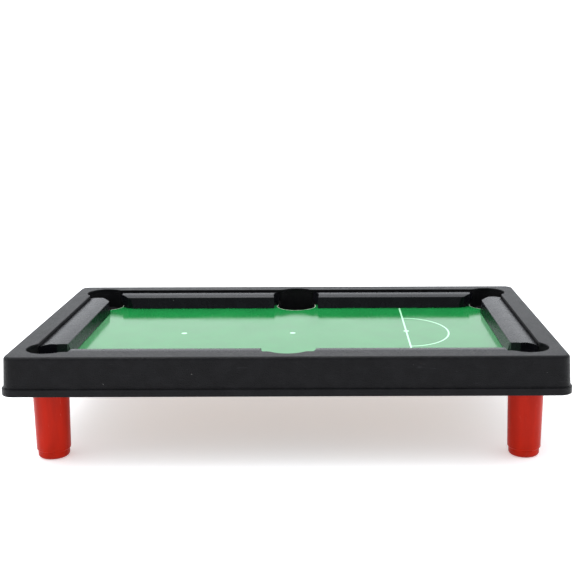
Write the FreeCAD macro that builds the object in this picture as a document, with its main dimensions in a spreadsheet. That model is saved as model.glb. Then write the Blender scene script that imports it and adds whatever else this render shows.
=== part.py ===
import FreeCAD, Part
import os
import re

import Sketcher

# Mini pool table, in millimetres.
# The origin is on the floor, under the middle of the table.
# +X runs along the long side, +Y to the back, +Z up.
#
# "Inset" always means the distance in from the top of the moulding's outer side
# wall, and "drop" always means the distance down from the flat top of the rail.

App = FreeCAD

SIZES = {
    # Overall
    "length": (512.0, "Length over the moulding's side walls at the top, along X"),
    "width": (312.0, "Width over the moulding's side walls at the top, along Y"),
    "height": (104.5, "Floor to the flat top of the rail"),
    "skirt_height": (36.2, "Height of the moulding's side wall"),
    # Rail frame moulding
    "corner_radius": (9.5, "Plan radius of the outer corners"),
    "edge_round": (3.0, "Rounding of the top outer edge"),
    "rim_round": (0.8, "Rounding of the inner edge of the flat rail"),
    "hole_blend": (6.0, "Plan radius where a pocket hole opens on to the table"),
    "wall": (2.6, "Thickness of the skirt"),
    "flare": (2.0, "How far the skirt leans out from its top to its bottom"),
    "plate": (3.0, "Thickness of the flat rail"),
    "lip_height": (7.0, "Height of the band round the bottom of the skirt"),
    "lip_out": (1.2, "How far that band stands out of the skirt"),
    "lip_round": (1.0, "Rounding of the band's edges"),
    "rail_width": (20.0, "Width of the flat rail"),
    "web": (3.0, "Thickness of the upright web under the rail's inner edge"),
    "shelf_width": (20.0, "How far the cushion shelf reaches in past the flat rail"),
    "shelf_thick": (3.0, "Thickness of the cushion shelf"),
    "skin": (0.8, "Least thickness left over a blind screw hole"),
    "boss_lift": (0.2, "How far a board boss stops short of the board's underside"),
    # Playing surface
    "board_drop": (16.4, "Drop of the playing surface"),
    "sheet_thick": (0.3, "Thickness of the printed sheet"),
    "board_thick": (3.0, "Thickness of the playing board"),
    # Cushions
    "groove": (0.6, "Gap between the flat rail and a cushion"),
    "flank_drop": (3.6, "Drop of the cushion's top beside the rail"),
    "crown_radius": (34.0, "Radius of the cushion's crowned top"),
    "nose_reach": (24.5, "How far the cushion's nose reaches in past the flat rail"),
    "nose_drop": (3.6, "Drop of the cushion's nose"),
    "nose_round": (1.4, "Rounding of the cushion's nose"),
    "face_lean": (2.2, "How much further in the foot of the cushion's face is"),
    "base_gap": (0.4, "Gap between the cushion's face and the sheet"),
    "jaw_gap": (0.2, "How far a corner jaw stands clear of the pocket's side"),
    "jaw_tuck": (2.0, "How far the slanting jaws of a corner pocket are drawn in"),
    "jaw_round": (9.0, "Plan radius of a corner jaw at the nose"),
    "mid_jaw_extra": (4.3, "How much larger than a middle pocket the round of its jaws is"),
    "mid_jaw_shift": (3.9, "How far that round's axis stands on the table's side of the pocket's"),
    # Pockets
    "corner_rim": (14.0, "Width of rail left outside a corner pocket"),
    "corner_hole": (20.0, "Radius of a corner pocket"),
    "mid_rim": (12.5, "Width of rail left outside a middle pocket"),
    "mid_hole": (22.0, "Radius of a middle pocket"),
    "cup_wall": (1.6, "Wall of a pocket cup"),
    "cup_floor": (2.0, "Floor of a pocket cup"),
    "cup_round": (3.0, "Rounding inside a cup, where the wall meets the floor"),
    "collar": (2.4, "Width of the cup's collar under the playing board"),
    "collar_thick": (2.0, "Thickness of that collar"),
    "corner_floor_drop": (23.5, "Drop of a corner cup's floor"),
    "mid_floor_drop": (33.0, "Drop of a middle cup's floor"),
    "ear_drop": (12.0, "Drop of the top of a cup's fixing ear"),
    "ear_thick": (2.0, "Thickness of a fixing ear"),
    # Legs
    "leg_top_radius": (16.95, "Leg radius at its top end"),
    "leg_low_radius": (15.6, "Leg radius just above the foot"),
    "foot_radius": (14.5, "Radius of the foot"),
    "foot_height": (7.0, "Height of the foot"),
    "foot_round": (3.0, "Rounding of the foot's lower edge"),
    "foot_step": (1.2, "Height of the sloping step between foot and leg"),
    "leg_wall": (1.8, "Wall of the hollow leg"),
    "leg_floor": (2.4, "Floor of the hollow leg"),
    "socket_wall": (2.0, "Wall of the leg socket"),
    "socket_lift": (0.4, "How far the socket stops short of the skirt's bottom edge"),
    # Clearances
    "gap": (0.5, "Plain clearance between pieces of the table"),
    "leg_fit": (0.1, "Radial clearance between a leg and its socket"),
    "leg_gap": (0.4, "Clearance above the top end of a leg"),
    # Screws
    "shank_radius": (1.4, "Radius of a screw"),
    "pilot_radius": (1.45, "Radius of the hole that a screw bites in"),
    "pass_radius": (1.8, "Radius of the hole that a screw passes through"),
    "boss_radius": (3.5, "Radius of a screw boss"),
    "head_radius": (2.9, "Radius of a screw head"),
    "washer_radius": (5.0, "Radius of the wide head that holds the board"),
    "head_thick": (1.8, "Thickness of a screw head"),
    "cross_width": (0.9, "Width of the cross recess in a screw head"),
    "cross_depth": (0.9, "Depth of the cross recess"),
    "cup_screw_length": (9.0, "Length of a cup screw under its head"),
    "cushion_screw_length": (10.0, "Length of a cushion screw under its head"),
    "board_screw_length": (5.2, "Length of a board screw under its head"),
    "outer_screw_gap": (3.9, "Gap between a corner cup and the boss of its outer screw"),
    "corner_screw_in": (0.5, "How far a corner cup's other screws stand inside its side"),
    "mid_screw_out": (5.0, "How far a middle cup's screws stand outside its side"),
    "cushion_screw_edge": (3.6, "Distance of the cushion screws from the cushion's rear side"),
    "board_screw_edge": (5.6, "Distance of the board screws from the shelf's inner edge"),
    "screw_end_reach": (82.0, "Distance of the last screws from the end of a side"),
    "screw_mid_reach": (48.0, "Distance of the first screws from the middle of a long side"),
    "board_screw_reach": (53.0, "Distance of board screws from the middle of a short side"),
}

ROOT_TWO = "1.41421356"  # a corner jaw runs at 45 degrees to the rail
HALF_TURN_TANGENT = "0.41421356"  # tangent of 22.5 degrees
HALF_TURN_SHARE = "0.29289322"  # that tangent times the sine of 45 degrees

# Places that pieces share, each an expression in the sizes above.
DERIVED = {
    # Heights
    "skirt_bottom": "height - skirt_height",
    "under_plate": "height - plate",
    "shelf_bottom": "height - board_drop",
    "shelf_top": "shelf_bottom + shelf_thick",
    "sheet_bottom": "shelf_bottom - sheet_thick",
    "board_bottom": "sheet_bottom - board_thick",
    "collar_top": "board_bottom - gap / 4",
    "ear_top": "height - ear_drop",
    "corner_floor": "height - corner_floor_drop",
    "mid_floor": "height - mid_floor_drop",
    "leg_top": "corner_floor - cup_floor - leg_gap",
    # Insets from the outer side wall
    "web_inset": "rail_width - web",
    "cushion_inset": "rail_width + groove",
    "shelf_inset": "rail_width + shelf_width",
    "nose_inset": "rail_width + nose_reach",
    "base_inset": "nose_inset + face_lean",
    "corner_inset": "corner_rim + corner_hole",
    "mid_inset": "mid_rim + mid_hole",
    "cushion_screw_inset": "cushion_inset + cushion_screw_edge",
    "board_screw_inset": "shelf_inset - board_screw_edge",
    "board_inset": "cushion_screw_inset + head_radius + gap",
    "cup_screw_inset": "(wall + web_inset) / 2",
    "outer_screw_inset":
        f"corner_inset - (corner_outer + outer_screw_gap + boss_radius) / {ROOT_TWO}",
    "lip_reach": "flare + lip_out",
    # Radii and half widths about a pocket
    "corner_outer": "corner_hole + cup_wall",
    "mid_outer": "mid_hole + cup_wall",
    "corner_jaw_reach": "corner_hole - jaw_tuck",
    "mid_jaw_radius": "mid_hole + mid_jaw_extra",
    "lean": "atan(flare / skirt_height)",
    "corner_screw_reach": "corner_inset + corner_hole - corner_screw_in",
    "mid_screw_reach": "mid_hole + mid_screw_out",
}

doc = App.newDocument("MiniPoolTable")
sheet = doc.addObject("Spreadsheet::Sheet", "Sizes")
for row, (alias, (number, meaning)) in enumerate(SIZES.items(), start=1):
    sheet.set(f"A{row}", meaning)
    sheet.set(f"B{row}", str(number))
    sheet.setAlias(f"B{row}", alias)
doc.recompute()


# ---------------------------------------------------------------- small helpers

def linked(text):
    """Return the expression with every name of a size or a shared place filled in."""
    def fill(word):
        name = word[0]
        if name in DERIVED:
            return f"({linked(DERIVED[name])})"
        return "Sizes." + name if name in SIZES else name
    return re.sub(r"[a-z][a-z_]*", fill, text)


def value(text):
    """Return what an expression comes to now, as a number."""
    return float(sheet.evalExpression(linked(text)))


def bind(item, **expressions):
    """Tie properties to expressions; a double underscore stands for a dot."""
    for name, text in expressions.items():
        item.setExpression(name.replace("__", "."), linked(text))


def new_body(label, x="0", y="0", z="0", turn=0):
    """Start a body that is turned about Z by whole degrees and then moved."""
    body = doc.addObject("PartDesign::Body", label)
    body.Label = label
    body.Placement = App.Placement(App.Vector(), App.Rotation(App.Vector(0, 0, 1), turn))
    bind(body, Placement__Base__x=x, Placement__Base__y=y, Placement__Base__z=z)
    return body


def new_sketch(body, name, plane, offset="0"):
    """Put a sketch on one of the body's origin planes, moved along its normal."""
    sketch = body.newObject("Sketcher::SketchObject", f"{body.Name}_{name}")
    support = next(item for item in body.Origin.OriginFeatures if item.Role == plane)
    sketch.AttachmentSupport = (support, [""])
    sketch.MapMode = "FlatFace"
    bind(sketch, AttachmentOffset__Base__z=offset)
    return sketch


def fix(sketch, kind, geometry, text):
    """Add one driving size to a sketch and tie it to an expression."""
    index = sketch.addConstraint(Sketcher.Constraint(kind, *geometry, value(text)))
    sketch.setExpression(f"Constraints[{index}]", linked(text))


def fix_point(sketch, geometry, end, x, y):
    """Hold one point of a sketch at x, y."""
    fix(sketch, "DistanceX", (-1, 1, geometry, end), x)
    fix(sketch, "DistanceY", (-1, 1, geometry, end), y)


def draw_outline(sketch, corners):
    """Draw a closed outline through corners (x, y) or (x, y, radius, bulge).

    The side that leaves a corner with a radius is an arc. Its bulge is 1 to the
    left of the way it runs, and -1 to the right.
    """
    ends = []
    for start, finish in zip(corners, corners[1:] + corners[:1]):
        first = App.Vector(value(start[0]), value(start[1]), 0)
        last = App.Vector(value(finish[0]), value(finish[1]), 0)
        if len(start) == 2:
            index = sketch.addGeometry(Part.LineSegment(first, last), False)
            ends.append((index, 1, 2))
            continue
        radius, bulge = value(start[2]), start[3]
        chord = last - first
        left = App.Vector(-chord.y, chord.x, 0).normalize()
        rise = radius - (radius ** 2 - (chord.Length / 2) ** 2) ** 0.5
        middle = (first + last) * 0.5 + left * (bulge * rise)
        if bulge > 0:
            index = sketch.addGeometry(Part.Arc(last, middle, first), False)
            ends.append((index, 2, 1))
        else:
            index = sketch.addGeometry(Part.Arc(first, middle, last), False)
            ends.append((index, 1, 2))
        fix(sketch, "Radius", (index,), start[2])
    for (before, _, stop), (after, begin, _), corner in zip(ends[-1:] + ends, ends, corners):
        sketch.addConstraint(Sketcher.Constraint("Coincident", before, stop, after, begin))
        fix_point(sketch, after, begin, corner[0], corner[1])


def draw_rectangle(sketch, half_x, half_y, x="0", y="0"):
    """Draw a rectangle about x, y from its half lengths."""
    signs = ((-1, -1), (1, -1), (1, 1), (-1, 1))
    draw_outline(sketch, [(f"{x} + {sx} * ({half_x})", f"{y} + {sy} * ({half_y})")
                          for sx, sy in signs])


def draw_round_rectangle(sketch, half_x, half_y, radius):
    """Draw a rectangle about the origin with rounded corners."""
    corners = []
    for sx, sy in ((1, -1), (1, 1), (-1, 1), (-1, -1)):
        on_end = (f"{sx} * ({half_x})", f"{sy} * ({half_y} - ({radius}))")
        on_side = (f"{sx} * ({half_x} - ({radius}))", f"{sy} * ({half_y})")
        first, last = (on_side, on_end) if sx * sy < 0 else (on_end, on_side)
        corners.append(first + (radius, -1))
        corners.append(last)
    draw_outline(sketch, corners)


def draw_circles(sketch, centres, radius):
    """Draw a circle of one radius about each centre."""
    for x, y in centres:
        centre = App.Vector(value(x), value(y), 0)
        circle = Part.Circle(centre, App.Vector(0, 0, 1), value(radius))
        index = sketch.addGeometry(circle, False)
        fix(sketch, "Radius", (index,), radius)
        fix_point(sketch, index, 3, x, y)


def feature(body, kind, name, sketch, length, lean="0"):
    """Add a Pad or a Pocket, whose sides may lean, and check that it changed the body."""
    before = body.Shape.Volume if body.Tip else 0.0
    item = body.newObject(f"PartDesign::{kind}", f"{body.Name}_{name}")
    item.Profile = sketch
    bind(item, Length=length, TaperAngle=lean)
    doc.recompute()
    change = body.Shape.Volume - before
    if (change > 0) != (kind == "Pad") or abs(change) < 0.01:
        raise RuntimeError(f"{body.Label}: {name} changed nothing")
    return item


def pad(body, name, low, length, draw, *arguments, lean="0"):
    """Pad what draw(sketch, *arguments) draws, upwards from height low."""
    sketch = new_sketch(body, name + "Sketch", "XY_Plane", low)
    draw(sketch, *arguments)
    return feature(body, "Pad", name, sketch, length, lean)


def cut(body, name, top, depth, draw, *arguments, lean="0"):
    """Cut what draw(sketch, *arguments) draws, downwards from height top."""
    sketch = new_sketch(body, name + "Sketch", "XY_Plane", top)
    draw(sketch, *arguments)
    return feature(body, "Pocket", name, sketch, depth, lean)


def round_edges(body, name, radius, wanted):
    """Fillet the edges of the body's last feature for which wanted(edge) is true."""
    base = body.Tip
    names = [f"Edge{number}" for number, edge in enumerate(base.Shape.Edges, start=1)
             if wanted(edge)]
    if not names:
        raise RuntimeError(f"{body.Label}: {name} found no edges")
    item = body.newObject("PartDesign::Fillet", f"{body.Name}_{name}")
    item.Base = (base, names)
    bind(item, Radius=radius)
    doc.recompute()


def revolve(body, name, corners):
    """Turn an outline of (radius, height) corners about the body's Z axis."""
    sketch = new_sketch(body, name + "Sketch", "XZ_Plane")
    draw_outline(sketch, corners)
    item = body.newObject("PartDesign::Revolution", f"{body.Name}_{name}")
    item.Profile = sketch
    item.ReferenceAxis = (sketch, ["V_Axis"])
    item.Angle = 360.0
    doc.recompute()


# ------------------------------------------------- places that pieces share

SIGNS = (-1, 1)


def from_corner(sx, sy, inset_x, inset_y):
    """Return the x, y of a point from its insets in the corner on side sx, sy."""
    return (f"{sx} * (length / 2 - ({inset_x}))", f"{sy} * (width / 2 - ({inset_y}))")


def along_sides(inset, long_places, short_places):
    """Return the x, y of points at one inset, along the long and the short sides."""
    points = [(f"{sx} * ({place})", f"{sy} * (width / 2 - {inset})")
              for place in long_places for sx in SIGNS for sy in SIGNS]
    for place in short_places:
        signs = SIGNS if place != "0" else (1,)
        points += [(f"{sx} * (length / 2 - {inset})", f"{sy} * ({place})")
                   for sx in SIGNS for sy in signs]
    return points


def all_corners(inset):
    """Return the four x, y at one inset from both sides."""
    return [from_corner(sx, sy, inset, inset) for sx in SIGNS for sy in SIGNS]


# Places along half a long side, and along a whole short side, from the middle.
LONG_PLACES = ["length / 2 - screw_end_reach", "screw_mid_reach",
               "(length / 2 - screw_end_reach + screw_mid_reach) / 2"]
SHORT_PLACES = ["width / 2 - screw_end_reach", "0", "-1 * (width / 2 - screw_end_reach)"]

CORNERS = all_corners("corner_inset")
MIDDLES = [("0", f"{sy} * (width / 2 - mid_inset)") for sy in SIGNS]
BOARD_SCREWS = along_sides("board_screw_inset", LONG_PLACES[:2], ["board_screw_reach"])
CUSHION_SCREWS = along_sides("cushion_screw_inset", LONG_PLACES, SHORT_PLACES[:2])
CUP_SCREWS = along_sides("cup_screw_inset",
                         ["length / 2 - corner_screw_reach", "mid_screw_reach"],
                         ["width / 2 - corner_screw_reach"])
CUP_SCREWS += all_corners("outer_screw_inset")


# ------------------------------------------------------------- the rail frame

def draw_ring(sketch, outer_inset, inner_inset):
    """Draw the band between two insets."""
    for inset in (outer_inset, inner_inset):
        draw_rectangle(sketch, f"length / 2 - {inset}", f"width / 2 - {inset}")


def draw_throats(sketch):
    """Draw the ways in to the six pockets, which are cut through web and shelf."""
    edge = "web_inset - gap"
    back = "cushion_inset"
    front = "shelf_inset + gap"
    reach = "corner_screw_reach + boss_radius + gap"
    plan = [(edge, edge), (reach, edge), (reach, back), (f"{back} + corner_jaw_reach", back),
            (f"{front} + corner_jaw_reach", front), (front, f"{front} + corner_jaw_reach"),
            (back, f"{back} + corner_jaw_reach"), (back, reach), (edge, reach)]
    for sx in SIGNS:
        for sy in SIGNS:
            draw_outline(sketch, [from_corner(sx, sy, u, v) for u, v in plan])
    side = "mid_screw_reach + boss_radius + gap"
    half = [(side, edge), (side, back), ("mid_hole", back), ("mid_jaw_radius", front)]
    for sy in SIGNS:
        right = [(f"1 * ({x})", f"{sy} * (width / 2 - ({u}))") for x, u in half]
        left = [(f"-1 * ({x})", f"{sy} * (width / 2 - ({u}))") for x, u in reversed(half)]
        draw_outline(sketch, right + left)


def upright_at(height_low, height_high):
    """Return a test for straight upright edges that span two heights."""
    low, high = value(height_low), value(height_high)

    def wanted(edge):
        box = edge.BoundBox
        thin = box.XLength < 1e-6 and box.YLength < 1e-6
        return thin and abs(box.ZMin - low) < 1e-6 and abs(box.ZMax - high) < 1e-6
    return wanted


def level_at(height, inset_low, inset_high):
    """Return a test for level edges at a height and within a range of insets."""
    level, near, far = value(height), value(inset_low), value(inset_high)
    half_x, half_y = value("length / 2"), value("width / 2")

    def wanted(edge):
        box = edge.BoundBox
        if abs(box.ZMin - level) > 1e-6 or abs(box.ZMax - level) > 1e-6:
            return False
        middle = edge.valueAt((edge.FirstParameter + edge.LastParameter) / 2)
        inset = min(half_x - abs(middle.x), half_y - abs(middle.y))
        return near <= inset <= far
    return wanted


def make_shell(body):
    """The outside of the moulding: skirt, band, flat rail and pocket holes."""
    pad(body, "Block", "skirt_bottom", "skirt_height", draw_round_rectangle,
        "length / 2 + flare", "width / 2 + flare", "corner_radius + flare",
        lean="-1 * lean")
    pad(body, "Lip", "skirt_bottom", "lip_height", draw_round_rectangle,
        "length / 2 + lip_reach", "width / 2 + lip_reach", "corner_radius + lip_reach")
    cut(body, "Hollow", "under_plate", "skirt_height - plate", draw_round_rectangle,
        "length / 2 - wall", "width / 2 - wall", "corner_radius - wall", lean="lean")
    cut(body, "Opening", "height", "plate", draw_round_rectangle,
        "length / 2 - rail_width", "width / 2 - rail_width", "corner_inset - rail_width")
    cut(body, "CornerHoles", "height", "plate", draw_circles, CORNERS, "corner_hole")
    cut(body, "MiddleHoles", "height", "plate", draw_circles, MIDDLES, "mid_hole")
    round_edges(body, "HoleBlends", "hole_blend", upright_at("under_plate", "height"))
    arc = "0.3 * corner_radius"
    round_edges(body, "RimRound", "rim_round", level_at("height", arc, "2 * mid_inset"))
    round_edges(body, "EdgeRound", "edge_round", level_at("height", "-0.01", arc))
    band_side = ("-1 * lip_reach - 0.01", "-1 * lip_reach + 0.5 * lip_out")
    round_edges(body, "LipLower", "lip_round", level_at("skirt_bottom", *band_side))
    round_edges(body, "LipUpper", "0.8 * lip_round",
                level_at("skirt_bottom + lip_height", *band_side))


def make_rail_frame():
    """The whole moulding: shell, web, cushion shelf and screw bosses."""
    body = new_body("rail_frame")
    make_shell(body)
    pad(body, "Web", "shelf_bottom", "under_plate - shelf_bottom", draw_ring,
        "web_inset", "rail_width")
    pad(body, "Shelf", "shelf_bottom", "shelf_thick", draw_ring, "web_inset", "shelf_inset")
    room = "under_plate - shelf_bottom"
    cut(body, "Throats", "under_plate", room, draw_throats)
    cut(body, "CornerRoom", "under_plate", room, draw_circles, CORNERS, "corner_outer + gap")
    pad(body, "CupBosses", "ear_top", "under_plate - ear_top", draw_circles, CUP_SCREWS,
        "boss_radius")
    cut(body, "CupPilots", "under_plate - skin", "under_plate - skin - ear_top", draw_circles,
        CUP_SCREWS, "pilot_radius")
    pad(body, "BoardBosses", "board_bottom + boss_lift",
        "shelf_bottom - board_bottom - boss_lift", draw_circles, BOARD_SCREWS, "boss_radius")
    cut(body, "BoardPilots", "shelf_top - skin", "shelf_top - skin - board_bottom",
        draw_circles, BOARD_SCREWS, "pilot_radius")
    cut(body, "CushionHoles", "shelf_top", "shelf_thick", draw_circles, CUSHION_SCREWS,
        "pass_radius")


# -------------------------------------------------- the playing surface layers

def draw_pocket_cuts(sketch):
    """Draw the six round bites, which are flush with the insides of the cups."""
    draw_circles(sketch, CORNERS, "corner_hole")
    draw_circles(sketch, MIDDLES, "mid_hole")


def make_layer(label, bottom, thick):
    """One flat layer of the playing surface, with its pocket bites and boss holes."""
    body = new_body(label)
    pad(body, "Slab", bottom, thick, draw_rectangle,
        "length / 2 - board_inset", "width / 2 - board_inset")
    cut(body, "PocketCuts", f"{bottom} + {thick}", thick, draw_pocket_cuts)
    cut(body, "BossHoles", f"{bottom} + {thick}", thick, draw_circles, BOARD_SCREWS,
        "boss_radius + gap")


# ----------------------------------------------------------------- the cushions
# A cushion is drawn in its own place: X along the rail, Y in from the outer side
# wall and Z up from the flat top of the rail.

def draw_cushion_section(sketch):
    """Draw the section of a cushion: crowned top, leaning face and rear block."""
    block_bottom = "shelf_thick - board_drop"
    face_bottom = "base_gap - board_drop"
    draw_outline(sketch, [
        ("cushion_inset", block_bottom),
        ("shelf_inset + gap", block_bottom),
        ("shelf_inset + gap", face_bottom),
        ("base_inset", face_bottom),
        ("nose_inset", "-1 * (nose_drop + nose_round)", "nose_round", -1),
        ("nose_inset - nose_round", "-1 * nose_drop", "crown_radius", -1),
        ("cushion_inset", "-1 * flank_drop"),
    ])


def draw_corner_jaw(sketch, side, end_reach):
    """Draw what is cut off a cushion's end beside a corner pocket."""
    rear = "rail_width - gap"
    far = "base_inset + gap"
    tip = "base_inset + corner_jaw_reach"
    plan = [("0", rear),
            (f"{rear} + corner_jaw_reach", rear),
            (f"{tip} - {HALF_TURN_SHARE} * jaw_round",
             f"base_inset - {HALF_TURN_SHARE} * jaw_round", "jaw_round", side),
            (f"{tip} + {HALF_TURN_TANGENT} * jaw_round", "base_inset"),
            (f"{tip} + {HALF_TURN_TANGENT} * jaw_round", far),
            ("0", far)]
    draw_outline(sketch, [(f"{side} * ({end_reach} - ({corner[0]}))",) + corner[1:]
                          for corner in plan])


def make_cushion(label, side, place, turn, end_reach, screws):
    """One cushion strip. side is -1, 0 or 1: left of, across or right of the middle."""
    body = new_body(label, *place, "height", turn)
    start = f"-1 * {end_reach}" if side <= 0 else "0"
    section = new_sketch(body, "Section", "YZ_Plane", start)
    draw_cushion_section(section)
    feature(body, "Pad", "Strip", section, f"{end_reach} * {2 if side == 0 else 1}")
    jaw_ends = {"Left": -1, "Right": 1}
    for name, end in jaw_ends.items():
        if side in (0, end):
            cut(body, f"{name}Jaw", "0", "board_drop", draw_corner_jaw, end, end_reach)
    corners = [(f"{end} * ({end_reach} - corner_inset)", "corner_inset")
               for end in jaw_ends.values() if side in (0, end)]
    cut(body, "CornerPockets", "0", "board_drop", draw_circles, corners,
        "corner_hole + jaw_gap")
    if side:
        cut(body, "MiddlePocket", "0", "board_drop", draw_circles,
            [("0", "mid_inset + mid_jaw_shift")], "mid_jaw_radius")
    depth = "cushion_screw_length - shelf_thick + skin"
    cut(body, "ScrewHoles", f"shelf_thick - board_drop + {depth}", depth, draw_circles,
        [(x, "cushion_screw_inset") for x in screws], "pilot_radius")


def make_cushions():
    """Four cushions on the long sides and one on each short side."""
    for name, sy, turn in (("front", -1, 0), ("back", 1, 180)):
        for side in SIGNS:
            seen = -side if turn else side
            label = f"cushion_{name}_{'right' if seen > 0 else 'left'}"
            make_cushion(label, side, ("0", f"{sy} * width / 2"), turn, "(length / 2)",
                         [f"{side} * ({place})" for place in LONG_PLACES])
    for name, sx, turn in (("left", -1, -90), ("right", 1, 90)):
        make_cushion(f"cushion_{name}", 0, (f"{sx} * length / 2", "0"), turn, "(width / 2)",
                     SHORT_PLACES)


# -------------------------------------------------------------- the pocket cups
# A cup is drawn about its own axis, at its real height above the floor. The
# playing surface lies on its +Y side, or on its +X and +Y sides in a corner.

def cup_outline(hole, outer, floor, lower):
    """Return the turned section of a cup, down to where lower goes on."""
    rim = "under_plate - gap / 2"
    return [("0", floor),
            (f"{hole} - cup_round", floor, "cup_round", -1),
            (hole, f"{floor} + cup_round"),
            (hole, rim),
            (outer, rim),
            (outer, "collar_top"),
            (f"{outer} + collar", "collar_top"),
            (f"{outer} + collar", "collar_top - collar_thick"),
            (outer, "collar_top - collar_thick")] + lower


def draw_ear(sketch, x, y, outer):
    """Draw a fixing ear: a round end about x, y and a straight bar to the cup."""
    reach = f"sqrt(({x}) * ({x}) + ({y}) * ({y}))"
    across, out = f"(({x}) / {reach})", f"(({y}) / {reach})"
    root = f"({outer} - cup_wall / 2)"
    side = "boss_radius"
    draw_outline(sketch, [
        (f"{root} * {across} - {side} * {out}", f"{root} * {out} + {side} * {across}"),
        (f"{root} * {across} + {side} * {out}", f"{root} * {out} - {side} * {across}"),
        (f"{x} + {side} * {out}", f"{y} - {side} * {across}", side, -1),
        (f"{x} + {side} * {across}", f"{y} + {side} * {out}", side, -1),
        (f"{x} - {side} * {out}", f"{y} + {side} * {across}")])


def add_ears(body, places, outer):
    """Add the fixing ears and the holes that their screws pass through."""
    for number, (x, y) in enumerate(places):
        pad(body, f"Ear{number}", "ear_top - ear_thick", "ear_thick", draw_ear, x, y, outer)
    cut(body, "EarHoles", "ear_top", "ear_thick", draw_circles, places, "pass_radius")


def open_side(body, corners):
    """Lower the cup's wall to the playing surface, inside an outline."""
    cut(body, "OpenSide", "under_plate", "under_plate - collar_top", draw_outline, corners)


def make_corner_cup(label, sx, sy, turn):
    """A corner cup, with the socket for a leg under its floor."""
    body = new_body(label, *from_corner(sx, sy, "corner_inset", "corner_inset"), "0", turn)
    under_floor = "corner_floor - cup_floor"
    bore = "leg_top_radius + leg_fit"
    end = "skirt_bottom + socket_lift"
    lower = [("corner_outer", under_floor),
             (f"{bore} + socket_wall", under_floor),
             (f"{bore} + socket_wall", end),
             (bore, end),
             (bore, under_floor),
             ("0", under_floor)]
    revolve(body, "Turned", cup_outline("corner_hole", "corner_outer", "corner_floor", lower))
    near = "(cup_screw_inset - corner_inset)"
    far = "(corner_screw_reach - corner_inset)"
    diagonal = "(outer_screw_inset - corner_inset)"
    add_ears(body, [(near, far), (far, near), (diagonal, diagonal)], "corner_outer")
    keep = "-1 * (corner_inset - rail_width)"
    far_side = "corner_outer + boss_radius"
    open_side(body, [(keep, keep), (far_side, keep), (far_side, far_side), (keep, far_side)])


def make_middle_cup(label, sy, turn):
    """A middle cup, which reaches nearly to the bottom of the skirt."""
    body = new_body(label, "0", f"{sy} * (width / 2 - mid_inset)", "0", turn)
    under_floor = "mid_floor - cup_floor"
    lower = [("mid_outer", under_floor), ("0", under_floor)]
    revolve(body, "Turned", cup_outline("mid_hole", "mid_outer", "mid_floor", lower))
    inward = "(cup_screw_inset - mid_inset)"
    add_ears(body, [("mid_screw_reach", inward), ("-1 * mid_screw_reach", inward)], "mid_outer")
    keep = "-1 * (mid_inset - rail_width)"
    side = "mid_outer + boss_radius"
    other = f"-1 * ({side})"
    open_side(body, [(other, keep), (side, keep), (side, side), (other, side)])


# --------------------------------------------------------------------- the legs

def leg_radius_at(level):
    """Return the outer radius of the tapered leg at a height above the floor."""
    return (f"(leg_low_radius + (leg_top_radius - leg_low_radius)"
            f" * (({level}) - foot_height) / (leg_top - foot_height))")


def make_leg(label, sx, sy):
    """A hollow tapered leg that pushes up into the socket of a corner cup."""
    body = new_body(label, *from_corner(sx, sy, "corner_inset", "corner_inset"))
    shoulder = "foot_height + foot_step"
    inside = "leg_floor + foot_height"
    revolve(body, "Turned", [
        ("0", "0"),
        ("foot_radius - foot_round", "0", "foot_round", -1),
        ("foot_radius", "foot_round"),
        ("foot_radius", "foot_height"),
        (leg_radius_at(shoulder), shoulder),
        ("leg_top_radius", "leg_top"),
        ("leg_top_radius - leg_wall", "leg_top"),
        (f"{leg_radius_at(inside)} - leg_wall", inside),
        ("foot_radius - foot_round", "leg_floor"),
        ("0", "leg_floor")])


# ------------------------------------------------------------------- the screws

def screw_solid(head_radius, length):
    """Return a screw whose head rests on z = 0 from below and whose tip points up."""
    radius, thick = value(head_radius), value("head_thick")
    head = Part.makeCylinder(radius, thick, App.Vector(0, 0, -thick))
    lower_edges = [edge for edge in head.Edges if edge.BoundBox.ZMax < 1e-6 - thick]
    head = head.makeFillet(thick / 2, lower_edges[:1])
    tip = value("shank_radius")
    shank = Part.makeCylinder(tip, value(length) - tip)
    point = Part.makeCone(tip, tip / 4, tip, App.Vector(0, 0, value(length) - tip))
    screw = head.fuse([shank, point]).removeSplitter()
    half_width = value("cross_width") / 2
    arm = min(radius, value("head_radius")) * 0.6
    for half_x, half_y in ((arm, half_width), (half_width, arm)):
        slot = Part.makeBox(2 * half_x, 2 * half_y, value("cross_depth"),
                            App.Vector(-half_x, -half_y, -thick))
        screw = screw.cut(slot)
    return screw


def make_screws(label, places, seat, head_radius, length):
    """Identical screws, point up, whose heads bear on the underside at height seat."""
    screw = screw_solid(head_radius, length)
    solids = []
    for x, y in places:
        copy = screw.copy()
        copy.translate(App.Vector(value(x), value(y), 0))
        solids += copy.Solids
    group = doc.addObject("Part::Feature", label)
    group.Label = label
    group.Shape = Part.makeCompound(solids)
    group.Placement = App.Placement(App.Vector(0, 0, value(seat)), App.Rotation())


# -------------------------------------------------------------- the whole table

make_rail_frame()
make_layer("printed_sheet", "sheet_bottom", "sheet_thick")
make_layer("playing_board", "board_bottom", "board_thick")
make_cushions()
for word_y, sy, turns in (("front", -1, (0, 90)), ("back", 1, (-90, 180))):
    for word_x, sx, turn in (("left", -1, turns[0]), ("right", 1, turns[1])):
        make_corner_cup(f"pocket_cup_{word_y}_{word_x}", sx, sy, turn)
        make_leg(f"leg_{word_y}_{word_x}", sx, sy)
    make_middle_cup(f"pocket_cup_{word_y}_middle", sy, 0 if sy < 0 else 180)
make_screws("cup_screws", CUP_SCREWS, "ear_top - ear_thick", "head_radius",
            "cup_screw_length")
make_screws("cushion_screws", CUSHION_SCREWS, "shelf_bottom", "head_radius",
            "cushion_screw_length")
make_screws("board_screws", BOARD_SCREWS, "board_bottom", "washer_radius",
            "board_screw_length")
doc.recompute()


# ------------------------------------------------------------ checks and export

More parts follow.
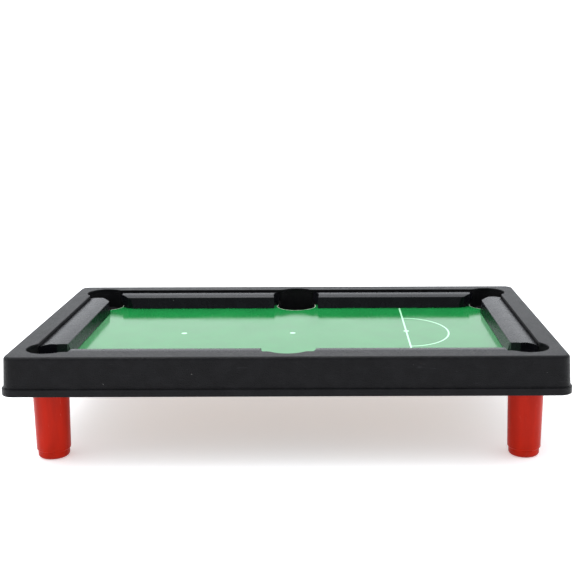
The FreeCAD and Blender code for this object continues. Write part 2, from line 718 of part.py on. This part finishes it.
for item in doc.Objects:
    if "Invalid" in item.State or "Error" in item.State:
        raise RuntimeError(f"{item.Name} did not compute: {item.State}")

bodies = [item for item in doc.Objects if item.isDerivedFrom("PartDesign::Body")]
screw_groups = [item for item in doc.Objects if item.Label.endswith("_screws")]
for node in bodies + screw_groups:
    if node.Shape.isNull() or not node.Shape.isValid():
        raise RuntimeError(f"{node.Label} has no valid shape")
for node in bodies:
    if len(node.Shape.Solids) != 1:
        raise RuntimeError(f"{node.Label} is {len(node.Shape.Solids)} solids")

os.makedirs("parts", exist_ok=True)
for node in bodies + screw_groups:
    node.Shape.exportStep(f"parts/{node.Label}.step")
print(len(bodies) + len(screw_groups), "pieces written")
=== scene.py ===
from math import cos, radians, sin

import bpy
from mathutils import Matrix, Vector


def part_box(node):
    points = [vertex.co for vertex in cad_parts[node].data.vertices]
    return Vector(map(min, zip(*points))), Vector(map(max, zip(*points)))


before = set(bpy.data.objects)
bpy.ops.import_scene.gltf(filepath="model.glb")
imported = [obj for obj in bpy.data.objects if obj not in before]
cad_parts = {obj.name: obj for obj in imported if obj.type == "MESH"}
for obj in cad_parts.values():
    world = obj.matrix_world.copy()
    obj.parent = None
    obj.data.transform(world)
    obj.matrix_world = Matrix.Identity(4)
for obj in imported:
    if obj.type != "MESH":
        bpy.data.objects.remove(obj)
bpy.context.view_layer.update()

bl_info = {
    "name": "Mini Pool Table Finishes",
    "version": (1, 0, 0),
    "blender": (4, 5, 0),
    "location": "3D View > Sidebar > Pool Table",
    "description": "Gives a mini pool table its moulded, printed and turned finishes, and a studio",
    "category": "Material",
}

# Everything is in metres, with the origin on the floor under the middle of the
# table, +X along its long side, +Y towards its back and +Z up.

LONG_CUSHIONS = ("cushion_front_left", "cushion_front_right",
                 "cushion_back_left", "cushion_back_right")
SHORT_CUSHIONS = ("cushion_left", "cushion_right")
SIDES = ("front", "back")
POCKET_CUPS = [f"pocket_cup_{side}_{end}" for side in SIDES for end in ("left", "middle", "right")]
LEGS = [f"leg_{side}_{end}" for side in SIDES for end in ("left", "right")]
SCREWS = ("board_screws", "cushion_screws", "cup_screws")

# The pockets, as the print is cut around them.
CORNER_POCKET_RADIUS = 0.0200
MIDDLE_POCKET_RADIUS = 0.0220
MIDDLE_POCKET_OFFSET = 0.1215

SPOT_DRIFT = -0.0050     # the two plain spots stand a little off the middle line
BAULK_SPOT_DRIFT = 0.0018
FAR_SPOT = -0.113
EDGE_SOFTNESS = 0.0002   # how softly printed and cut edges end


# ------------------------------------------------------------------ settings

class PoolTableColours(bpy.types.PropertyGroup):
    """Colours of the table's materials."""

    moulding: bpy.props.FloatVectorProperty(
        name="Moulding", description="Plastic of the rail frame",
        subtype="COLOR", min=0, max=1, default=(0.0022, 0.0022, 0.0029))
    cushion: bpy.props.FloatVectorProperty(
        name="Cushions", description="Plastic of the cushion strips",
        subtype="COLOR", min=0, max=1, default=(0.0040, 0.0042, 0.0060))
    cup: bpy.props.FloatVectorProperty(
        name="Pocket cups", description="Plastic of the pocket cups",
        subtype="COLOR", min=0, max=1, default=(0.0040, 0.0040, 0.0045))
    green: bpy.props.FloatVectorProperty(
        name="Print", description="Ground of the printed playing surface",
        subtype="COLOR", min=0, max=1, default=(0.010, 0.225, 0.050))
    marking: bpy.props.FloatVectorProperty(
        name="Markings", description="Lines and spots of the playing surface",
        subtype="COLOR", min=0, max=1, default=(0.50, 0.95, 0.62))
    leg: bpy.props.FloatVectorProperty(
        name="Legs", description="Plastic of the legs",
        subtype="COLOR", min=0, max=1, default=(0.47, 0.013, 0.002))
    board: bpy.props.FloatVectorProperty(
        name="Board", description="Hardboard under the print",
        subtype="COLOR", min=0, max=1, default=(0.24, 0.135, 0.065))
    steel: bpy.props.FloatVectorProperty(
        name="Screws", description="Plating of the screws",
        subtype="COLOR", min=0, max=1, default=(0.56, 0.56, 0.53))


class PoolTableMarkings(bpy.types.PropertyGroup):
    """Places and sizes of what is printed on the playing surface."""

    baulk: bpy.props.FloatProperty(
        name="Baulk line", description="Distance of the line from the middle of the table",
        unit="LENGTH", min=0, max=0.2, default=0.119)
    line_width: bpy.props.FloatProperty(
        name="Line width", description="Width of the line and of the D",
        unit="LENGTH", min=0.0005, max=0.005, default=0.0017)
    bow_length: bpy.props.FloatProperty(
        name="D length", description="How far the D bows out from the line",
        unit="LENGTH", min=0.01, max=0.1, default=0.044)
    bow_half_width: bpy.props.FloatProperty(
        name="D half width", description="Half the length of the line that the D spans",
        unit="LENGTH", min=0.01, max=0.1, default=0.059)
    spot_radius: bpy.props.FloatProperty(
        name="Spot radius", description="Radius of the three spots",
        unit="LENGTH", min=0.0005, max=0.005, default=0.0029)


class PoolTableStage(bpy.types.PropertyGroup):
    """Camera, floor and light."""

    camera_place: bpy.props.FloatVectorProperty(
        name="Camera", description="Where the camera stands",
        subtype="TRANSLATION", unit="LENGTH", default=(0.0382, -1.0346, 0.3512))
    camera_turn: bpy.props.FloatProperty(
        name="Turn", description="Turn of the view away from the table's cross axis",
        unit="ROTATION", default=radians(0.289))
    camera_dip: bpy.props.FloatProperty(
        name="Dip", description="How far the view looks down",
        unit="ROTATION", default=radians(10.952))
    camera_roll: bpy.props.FloatProperty(
        name="Roll", description="Roll of the camera about its line of sight",
        unit="ROTATION", default=radians(-0.12))
    lens: bpy.props.FloatProperty(
        name="Lens", description="Focal length", unit="CAMERA", min=10, default=63.5)
    shift: bpy.props.FloatVectorProperty(
        name="Shift", description="Shift of the lens", size=2, default=(-0.0801, -0.0265))
    floor_size: bpy.props.FloatProperty(
        name="Floor", description="Length of a side of the floor",
        unit="LENGTH", min=2, default=14.0)
    back_light: bpy.props.FloatVectorProperty(
        name="Surround behind", description="Light of the surround behind and above the table",
        subtype="COLOR", min=0, max=4, default=(1.36, 1.40, 1.46))
    front_light: bpy.props.FloatVectorProperty(
        name="Surround in front", description="Light of the surround before the table",
        subtype="COLOR", min=0, max=4, default=(0.42, 0.42, 0.44))
    floor_glow: bpy.props.FloatProperty(
        name="Floor glow", description="Light of the floor's own, as on a lit table",
        min=0, max=2, default=0.42)
    overhead_power: bpy.props.FloatProperty(
        name="Overhead light", description="Power of the soft light above the table",
        unit="POWER", min=0, default=20.0)


# -------------------------------------------------------------- shader writing

class Value:
    """A socket of a shader node. Arithmetic on it adds Math nodes."""

    def __init__(self, tree, socket):
        self.tree = tree
        self.socket = socket

    def math(self, operation, *others):
        """Return the result of a Math node that has this value first."""
        sockets = dict(enumerate((self,) + others))
        return self.tree.node("ShaderNodeMath", {"operation": operation}, sockets)["Value"]

    def __add__(self, other):
        return self.math("ADD", other)

    def __sub__(self, other):
        return self.math("SUBTRACT", other)

    def __rsub__(self, other):
        return (self * -1.0).math("ADD", other)

    def __mul__(self, other):
        return self.math("MULTIPLY", other)

    def __truediv__(self, other):
        return self.math("DIVIDE", other)

    def __pow__(self, other):
        return self.math("POWER", other)

    def __abs__(self):
        return self.math("ABSOLUTE")

    def __gt__(self, other):
        return self.math("GREATER_THAN", other)

    def __lt__(self, other):
        return self.math("LESS_THAN", other)

    __radd__ = __add__
    __rmul__ = __mul__

    def least(self, other):
        """Return the smaller of two values."""
        return self.math("MINIMUM", other)

    def most(self, other):
        """Return the larger of two values."""
        return self.math("MAXIMUM", other)

    def root(self):
        """Return the square root."""
        return self.math("SQRT")

    def ramp(self, low, high):
        """Return 0 below low and 1 above high, with a smooth run between them."""
        settings = {"interpolation_type": "SMOOTHSTEP", "clamp": True}
        sockets = {"Value": self, "From Min": low, "From Max": high}
        return self.tree.node("ShaderNodeMapRange", settings, sockets)["Result"]


class Tree:
    """A tree of shader nodes, written node by node."""

    def __init__(self, tree):
        self.nodes = tree.nodes
        self.links = tree.links

    def feed(self, socket, source):
        """Link a value into a socket, or set the socket to a constant."""
        if isinstance(source, Value):
            self.links.new(source.socket, socket)
        elif isinstance(source, (int, float)):
            socket.default_value = source
        else:
            size = len(socket.default_value)
            socket.default_value = (tuple(source) + (1.0,))[:size]

    def node(self, kind, settings=None, sockets=None):
        """Add a node: settings first, then its sockets. Return its outputs by name."""
        node = self.nodes.new(kind)
        for name, setting in (settings or {}).items():
            setattr(node, name, setting)
        for name, source in (sockets or {}).items():
            self.feed(node.inputs[name], source)
        return {output.name: Value(self, output) for output in node.outputs if output.enabled}

    def parts(self, vector):
        """Return the x, y and z of a vector."""
        split = self.node("ShaderNodeSeparateXYZ", sockets={"Vector": vector})
        return split["X"], split["Y"], split["Z"]

    def blend(self, mask, first, second):
        """Return a colour that goes from first to second as mask goes from 0 to 1."""
        settings = {"data_type": "RGBA", "clamp_factor": True}
        return self.node("ShaderNodeMix", settings, {0: mask, 6: first, 7: second})["Result"]


class Finish(Tree):
    """One procedural material."""

    def __init__(self, name, **constants):
        self.material = bpy.data.materials.new(name)
        self.material.use_nodes = True
        super().__init__(self.material.node_tree)
        self.shader = self.nodes["Principled BSDF"]
        self.surface(**constants)
        self.place = self.node("ShaderNodeTexCoord")["Object"]
        self.x, self.y, self.z = self.parts(self.place)

    def stretched(self, x, y, z):
        """Return the place in space with each axis multiplied."""
        return self.node("ShaderNodeVectorMath", {"operation": "MULTIPLY"},
                         {0: self.place, 1: (x, y, z)})["Vector"]

    def noise(self, pitch, detail=2.0, roughness=0.5, vector=None, seed=0.0):
        """Return soft noise from 0 to 1 whose features are about pitch across."""
        sockets = {"Vector": vector or self.place, "W": seed, "Scale": 1.0 / pitch,
                   "Detail": detail, "Roughness": roughness}
        return self.node("ShaderNodeTexNoise", {"noise_dimensions": "4D"}, sockets)["Fac"]

    def cells(self, pitch, feature="F1"):
        """Return the outputs of a cell pattern whose cells are about pitch across."""
        return self.node("ShaderNodeTexVoronoi", {"feature": feature},
                         {"Vector": self.place, "Scale": 1.0 / pitch})

    def specks(self, pitch, radius, share):
        """Return a mask of round specks: one in some of the cells of a pattern."""
        cell = self.cells(pitch)
        chance = self.parts(cell["Color"])[0]
        within = 1.0 - cell["Distance"].ramp(0.6 * radius / pitch, radius / pitch)
        return within * (chance < share)

    def bump(self, height, distance):
        """Feed the shader's normal from a height, whose unit is distance deep."""
        normal = self.node("ShaderNodeBump", sockets={
            "Height": height, "Distance": distance, "Strength": 1.0})["Normal"]
        self.surface(Normal=normal)

    def surface(self, **sources):
        """Link or set sockets of the shader; an underscore stands for a space."""
        for name, source in sources.items():
            self.feed(self.shader.inputs[name.replace("_", " ")], source)

    def wear(self, *names):
        """Put the material on the named pieces."""
        for name in names:
            for material_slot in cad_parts[name].material_slots:
                material_slot.material = self.material


# ----------------------------------------------------------------- the finishes

def moulded_black(name, colour, gloss, roughness, grain, pitch):
    """Black injection moulding: fine leathery grain, soft waves, dust and scuffs.

    grain is the share of the leathery pattern in the bump and pitch is its size.
    """
    finish = Finish(name, Specular_IOR_Level=gloss)
    waves = finish.noise(0.021, 2.0)
    grain_cells = finish.cells(pitch, "DISTANCE_TO_EDGE")["Distance"].ramp(0.0, 0.32)
    fine = finish.noise(0.0009, 3.0, 0.6)
    finish.bump(waves * 0.5 + grain_cells * grain + fine * 0.25, 0.00015)
    blotches = finish.noise(0.013, 4.0, 0.6, seed=3.0)
    scuffs = finish.noise(0.006, 5.0, 0.75, finish.stretched(0.16, 1.0, 1.0), 7.0).ramp(0.60, 0.72)
    cross_scuffs = finish.noise(0.006, 5.0, 0.75, finish.stretched(1.0, 0.16, 1.0), 9.0)
    scuffs = scuffs.most(cross_scuffs.ramp(0.62, 0.74))
    dust = finish.specks(0.011, 0.00032, 0.34).most(finish.specks(0.023, 0.00055, 0.22))
    pale = tuple(channel * 1.5 + 0.002 for channel in colour)
    ground = finish.blend(blotches.ramp(0.35, 0.75), colour, pale)
    ground = finish.blend(scuffs * 0.40, ground, (0.040, 0.040, 0.044))
    finish.surface(Base_Color=finish.blend(dust, ground, (0.34, 0.34, 0.33)),
                   Roughness=(blotches - 0.5) * 0.16 + scuffs * 0.10 + roughness)
    return finish


def printed_green(colours, markings):
    """Glossy print: green ground, baulk line, D and spots, and white cut edges that are partly the
    sheet's white core and partly a painted highlight.
    """
    finish = Finish("print_green", Specular_IOR_Level=0.5)
    x, y = finish.x, finish.y
    half = markings.line_width / 2

    def inked(distance, reach):
        """Return a mask that is 1 within reach of where distance is 0."""
        return 1.0 - abs(distance).ramp(reach - EDGE_SOFTNESS, reach + EDGE_SOFTNESS)

    line = inked(x - markings.baulk, half)
    along = (x - markings.baulk) / markings.bow_length
    across = y / markings.bow_half_width
    size = (along * along + across * across).root()
    slope_along = along / markings.bow_length
    slope_across = across / markings.bow_half_width
    slope = (slope_along ** 2.0 + slope_across ** 2.0).root()
    bow = inked((size - 1.0) * size / slope, half) * (along > 0.0)
    marks = line.most(bow)
    spots = ((0.0, SPOT_DRIFT), (FAR_SPOT, SPOT_DRIFT), (markings.baulk, BAULK_SPOT_DRIFT))
    for spot_x, spot_y in spots:
        away = ((x - spot_x) ** 2.0 + (y - spot_y) ** 2.0).root()
        marks = marks.most(inked(away, markings.spot_radius))

    leg_low, leg_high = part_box("leg_front_right")
    corner = (leg_low + leg_high) / 2     # a leg stands under each corner pocket
    corner_away = ((abs(x) - abs(corner.x)) ** 2.0 + (abs(y) - abs(corner.y)) ** 2.0).root()
    middle_away = (x ** 2.0 + (abs(y) - MIDDLE_POCKET_OFFSET) ** 2.0).root()
    from_edge = (corner_away - CORNER_POCKET_RADIUS).least(middle_away - MIDDLE_POCKET_RADIUS)
    ragged = finish.noise(0.0012, 3.0, 0.7, seed=5.0)
    # The white band along the pocket cuts is partly the sheet's white core and partly a painted
    # highlight where the cut edge catches light.
    cut_edge_core_and_highlight = 1.0 - (from_edge - ragged * 0.0006).ramp(0.0, EDGE_SOFTNESS)

    mottle = finish.noise(0.030, 3.0, 0.55)
    fibres = finish.noise(0.0011, 3.0, 0.65, seed=2.0)
    deep = tuple(channel * 0.86 for channel in colours.green)
    ground = finish.blend(mottle.ramp(0.3, 0.7), deep, colours.green)
    ink = finish.blend(fibres.ramp(0.25, 0.8) * 0.25, colours.marking, colours.green)
    ground = finish.blend(marks, ground, ink)
    dust = finish.specks(0.016, 0.0003, 0.16)
    ground = finish.blend(dust * 0.6, ground, (0.6, 0.66, 0.6))
    smears = finish.noise(0.045, 4.0, 0.6, seed=8.0).ramp(0.35, 0.8)
    finish.surface(Base_Color=finish.blend(cut_edge_core_and_highlight, ground, (0.66, 0.68, 0.62)),
                   Roughness=smears * 0.06 + cut_edge_core_and_highlight * 0.4 + 0.10)
    orange_peel = finish.noise(0.0016, 2.0, 0.5, seed=4.0)
    sag = finish.noise(0.05, 1.0)
    finish.bump(orange_peel * 0.35 + sag + marks * 0.12, 0.00006)
    return finish


def pressed_hardboard(colour):
    """Hardboard: matted brown fibres, with the mesh mark of its press underneath."""
    finish = Finish("hardboard", Specular_IOR_Level=0.25)
    fibres = finish.noise(0.0016, 6.0, 0.72, finish.stretched(0.45, 1.0, 1.0))
    flecks = finish.noise(0.0007, 4.0, 0.7, finish.stretched(1.0, 0.35, 1.0), 4.0)
    patches = finish.noise(0.035, 3.0, 0.6, seed=2.0)
    mesh = finish.cells(0.0013, "SMOOTH_F1")["Distance"]
    dark = tuple(channel * 0.52 for channel in colour)
    pale = tuple(min(channel * 1.35, 1.0) for channel in colour)
    ground = finish.blend(fibres.ramp(0.3, 0.72), dark, colour)
    ground = finish.blend(patches.ramp(0.4, 0.8) * 0.5, ground, pale)
    ground = finish.blend(flecks.ramp(0.64, 0.72) * 0.6, ground, (0.42, 0.29, 0.17))
    ground = finish.blend((1.0 - flecks).ramp(0.66, 0.74) * 0.7, ground, (0.05, 0.026, 0.013))
    finish.surface(Base_Color=ground, Roughness=fibres * 0.25 + 0.62)
    finish.bump(mesh * 0.8 + fibres * 0.5, 0.00022)
    return finish


def moulded_red(colour):
    """Glossy red moulding: faint flow marks, fine rubs, pale dust specks, and dark blotches in the
    last few millimetres above the floor.
    """
    finish = Finish("leg_red", Specular_IOR_Level=0.09)
    flow = finish.noise(0.010, 3.0, 0.6, finish.stretched(1.0, 1.0, 0.22))
    rubs = finish.noise(0.0035, 5.0, 0.75, finish.stretched(1.0, 1.0, 0.25), 6.0).ramp(0.60, 0.75)
    fine = finish.noise(0.0008, 3.0, 0.6, seed=1.0)
    dark = tuple(channel * 0.80 for channel in colour)
    ground = finish.blend(flow.ramp(0.3, 0.7), dark, colour)
    ground = finish.blend(rubs * 0.16, ground, (0.80, 0.30, 0.24))
    dust = finish.specks(0.012, 0.0003, 0.28)
    # Darker, rougher blotches in the lowest 3.5 mm of the legs, just above the floor.
    darker_near_floor = (1.0 - finish.z.ramp(0.0, 0.0035)) * finish.noise(0.003, 4.0, 0.7, seed=3.0)
    ground = finish.blend(darker_near_floor * 0.5, ground, (0.10, 0.05, 0.045))
    finish.surface(Base_Color=finish.blend(dust * 0.7, ground, (0.75, 0.62, 0.58)),
                   Roughness=flow * 0.10 + rubs * 0.14 + darker_near_floor * 0.3 + 0.27)
    finish.bump(flow * 0.6 + fine * 0.22, 0.00009)
    return finish


def plated_steel(colour):
    """Zinc plated steel: turned rings, and dull and dark patches."""
    finish = Finish("screw_steel", Metallic=1.0)
    patches = finish.noise(0.0012, 4.0, 0.65)
    fine = finish.noise(0.00018, 3.0, 0.6, finish.stretched(1.0, 0.4, 1.0))
    dark = tuple(channel * 0.55 for channel in colour)
    finish.surface(Base_Color=finish.blend(patches.ramp(0.35, 0.75), dark, colour),
                   Roughness=patches * 0.22 + fine * 0.10 + 0.20)
    finish.bump(fine * 0.5 + patches * 0.3, 0.00003)
    return finish


# ------------------------------------------------------------------- operators

class FinishRailFrame(bpy.types.Operator):
    """Give the rail frame its grained black plastic."""

    bl_idname = "pool_table.finish_rail_frame"
    bl_label = "Finish Rail Frame"

    def execute(self, context):
        colours = context.scene.pool_table_colours
        finish = moulded_black("rail_black", tuple(colours.moulding), 0.13, 0.38, 1.1, 0.0014)
        finish.wear("rail_frame")
        return {"FINISHED"}


class FinishCushions(bpy.types.Operator):
    """Give the six cushion strips their smoother black plastic."""

    bl_idname = "pool_table.finish_cushions"
    bl_label = "Finish Cushions"

    def execute(self, context):
        colours = context.scene.pool_table_colours
        finish = moulded_black("cushion_black", tuple(colours.cushion), 0.20, 0.27, 0.16, 0.0008)
        finish.wear(*LONG_CUSHIONS, *SHORT_CUSHIONS)
        return {"FINISHED"}


class FinishPocketCups(bpy.types.Operator):
    """Give the six pocket cups their plain dark plastic."""

    bl_idname = "pool_table.finish_pocket_cups"
    bl_label = "Finish Pocket Cups"

    def execute(self, context):
        colours = context.scene.pool_table_colours
        finish = moulded_black("cup_black", tuple(colours.cup), 0.15, 0.46, 0.40, 0.0009)
        finish.wear(*POCKET_CUPS)
        return {"FINISHED"}


class FinishPrintedSheet(bpy.types.Operator):
    """Print the playing surface: green ground, baulk line, D and spots."""

    bl_idname = "pool_table.finish_printed_sheet"
    bl_label = "Print Playing Surface"

    def execute(self, context):
        scene = context.scene
        printed_green(scene.pool_table_colours, scene.pool_table_markings).wear("printed_sheet")
        return {"FINISHED"}


class FinishPlayingBoard(bpy.types.Operator):
    """Give the board under the print its pressed brown fibres."""

    bl_idname = "pool_table.finish_playing_board"
    bl_label = "Finish Playing Board"

    def execute(self, context):
        pressed_hardboard(tuple(context.scene.pool_table_colours.board)).wear("playing_board")
        return {"FINISHED"}


class FinishLegs(bpy.types.Operator):
    """Give the four legs their glossy red plastic."""

    bl_idname = "pool_table.finish_legs"
    bl_label = "Finish Legs"

    def execute(self, context):
        moulded_red(tuple(context.scene.pool_table_colours.leg)).wear(*LEGS)
        return {"FINISHED"}


class FinishScrews(bpy.types.Operator):
    """Give the screws their zinc plating."""

    bl_idname = "pool_table.finish_screws"
    bl_label = "Finish Screws"

    def execute(self, context):
        plated_steel(tuple(context.scene.pool_table_colours.steel)).wear(*SCREWS)
        return {"FINISHED"}


def new_object(name, data):
    """Link a new object into the scene."""
    item = bpy.data.objects.new(name, data)
    bpy.context.scene.collection.objects.link(item)
    return item


def place_camera(settings):
    """Stand the camera at its place and turn it to the table."""
    data = bpy.data.cameras.new("Camera")
    data.lens = settings.lens
    data.sensor_width = 36.0
    data.shift_x, data.shift_y = settings.shift
    data.clip_start = 0.01
    camera = new_object("Camera", data)
    turn, dip, roll = settings.camera_turn, settings.camera_dip, settings.camera_roll
    ahead = Vector((sin(turn) * cos(dip), cos(turn) * cos(dip), -sin(dip)))
    level = ahead.cross(Vector((0, 0, 1))).normalized()
    right = level * cos(roll) + level.cross(ahead) * sin(roll)
    up = right.cross(ahead)
    turned = Matrix((right, up, -ahead)).transposed().to_4x4()
    camera.matrix_world = Matrix.Translation(settings.camera_place) @ turned
    bpy.context.scene.camera = camera


def lay_floor(settings):
    """Lay a plain pale floor."""
    half = settings.floor_size / 2
    mesh = bpy.data.meshes.new("Floor")
    mesh.from_pydata([(-half, -half, 0), (half, -half, 0), (half, half, 0), (-half, half, 0)],
                     [], [(0, 1, 2, 3)])
    floor = new_object("Floor", mesh)
    floor.location.z = -0.0003
    finish = Finish("studio_floor", Base_Color=(0.92, 0.92, 0.92), Roughness=0.9,
                    Specular_IOR_Level=0.0, Emission_Color=(1.0, 1.0, 1.0),
                    Emission_Strength=settings.floor_glow)
    mesh.materials.append(finish.material)


def light_surround(settings):
    """Make the pale surround, which is brighter behind and above the table."""
    world = bpy.data.worlds.new("Studio")
    world.use_nodes = True
    tree = Tree(world.node_tree)
    _, towards_back, up = tree.parts(tree.node("ShaderNodeTexCoord")["Generated"])
    behind_or_above = (towards_back + up * 0.7).ramp(-0.65, 0.25)
    light = tree.blend(behind_or_above, tuple(settings.front_light), tuple(settings.back_light))
    tree.feed(tree.nodes["Background"].inputs["Color"], light)
    return world


def hang_light(name, place, aim, size, power):
    """Hang one soft square light that faces a point."""
    data = bpy.data.lights.new(name, "AREA")
    data.shape = "RECTANGLE"
    data.size, data.size_y = size
    data.energy = power
    light = new_object(name, data)
    light.location = place
    light.rotation_euler = (Vector(aim) - Vector(place)).to_track_quat("-Z", "Y").to_euler()


class SetStage(bpy.types.Operator):
    """Set up the floor, the white surround, the soft lights and the camera."""

    bl_idname = "pool_table.set_stage"
    bl_label = "Set Stage"

    def execute(self, context):
        scene = context.scene
        settings = scene.pool_table_stage
        scene.view_settings.view_transform = "Standard"
        scene.world = light_surround(settings)
        lay_floor(settings)
        hang_light("Overhead", (-0.35, 0.30, 1.5), (0.0, 0.0, 0.1), (1.8, 1.2),
                   settings.overhead_power)
        place_camera(settings)
        return {"FINISHED"}


class PoolTablePanel(bpy.types.Panel):
    """Lists the finishes and the stage of the mini pool table."""

    bl_idname = "VIEW3D_PT_pool_table"
    bl_label = "Mini Pool Table"
    bl_space_type = "VIEW_3D"
    bl_region_type = "UI"
    bl_category = "Pool Table"

    def draw(self, context):
        layout = self.layout
        scene = context.scene
        groups = (scene.pool_table_colours, scene.pool_table_markings, scene.pool_table_stage)
        for group in groups:
            box = layout.box()
            for name in group.bl_rna.properties.keys():
                if name not in ("rna_type", "name"):
                    box.prop(group, name)
        for operator in OPERATORS:
            layout.operator(operator.bl_idname)


SETTINGS = {
    "pool_table_colours": PoolTableColours,
    "pool_table_markings": PoolTableMarkings,
    "pool_table_stage": PoolTableStage,
}
OPERATORS = (FinishRailFrame, FinishCushions, FinishPocketCups, FinishPrintedSheet,
             FinishPlayingBoard, FinishLegs, FinishScrews, SetStage)


def register():
    """Register the settings, the operators and the panel."""
    for name, group in SETTINGS.items():
        bpy.utils.register_class(group)
        setattr(bpy.types.Scene, name, bpy.props.PointerProperty(type=group))
    for item in OPERATORS + (PoolTablePanel,):
        bpy.utils.register_class(item)


def unregister():
    """Take away what register added."""
    for item in reversed(OPERATORS + (PoolTablePanel,)):
        bpy.utils.unregister_class(item)
    for name, group in SETTINGS.items():
        delattr(bpy.types.Scene, name)
        bpy.utils.unregister_class(group)


def main():
    """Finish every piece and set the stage."""
    register()
    bpy.ops.pool_table.finish_rail_frame()
    bpy.ops.pool_table.finish_cushions()
    bpy.ops.pool_table.finish_pocket_cups()
    bpy.ops.pool_table.finish_printed_sheet()
    bpy.ops.pool_table.finish_playing_board()
    bpy.ops.pool_table.finish_legs()
    bpy.ops.pool_table.finish_screws()
    bpy.ops.pool_table.set_stage()


if __name__ == "__main__":
    main()
